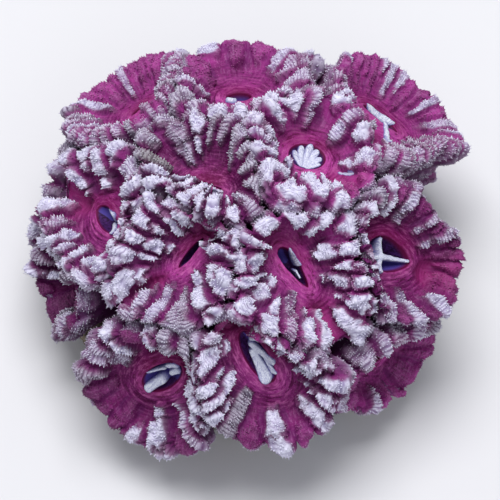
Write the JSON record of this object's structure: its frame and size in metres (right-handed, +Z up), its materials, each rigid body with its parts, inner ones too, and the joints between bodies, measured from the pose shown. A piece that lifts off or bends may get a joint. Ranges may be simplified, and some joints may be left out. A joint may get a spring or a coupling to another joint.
{
  "type": "acan coral colony",
  "caption": "Domed acan coral colony: fleshy cup-shaped polyps with ridged, lumpy rims and sunken discs, packed on a stony skeleton sawn flat underneath to stand on.",
  "frame": {"origin": "on the sawn flat underside of the skeleton, under the middle of the dome", "axes": "+Z up from the sawn face; +Y away from the viewer of the picture, so -Y is the front; +X to the viewer's right"},
  "size_m": [0.0628, 0.066, 0.0347],
  "materials": {
    "polyp_flesh": "soft wet flesh, magenta with frosted white lumps on the rims",
    "skeleton_stone": "rough matt limestone with a thin olive and blue-grey growth"
  },
  "bodies": {
    "root": {"skeleton_base": "skeleton_stone", "polyp_back": "polyp_flesh", "polyp_back_right": "polyp_flesh", "polyp_crown_right": "polyp_flesh", "polyp_crown_left": "polyp_flesh", "polyp_back_left": "polyp_flesh", "polyp_left": "polyp_flesh", "polyp_centre_left": "polyp_flesh", "polyp_centre": "polyp_flesh", "polyp_right": "polyp_flesh", "polyp_front_left": "polyp_flesh", "polyp_front": "polyp_flesh", "polyp_front_right": "polyp_flesh", "polyp_left_low": "polyp_flesh", "polyp_rear_left_low": "polyp_flesh", "polyp_rear_left": "polyp_flesh", "polyp_rear": "polyp_flesh", "polyp_rear_right": "polyp_flesh"}
  },
  "joints": []
}
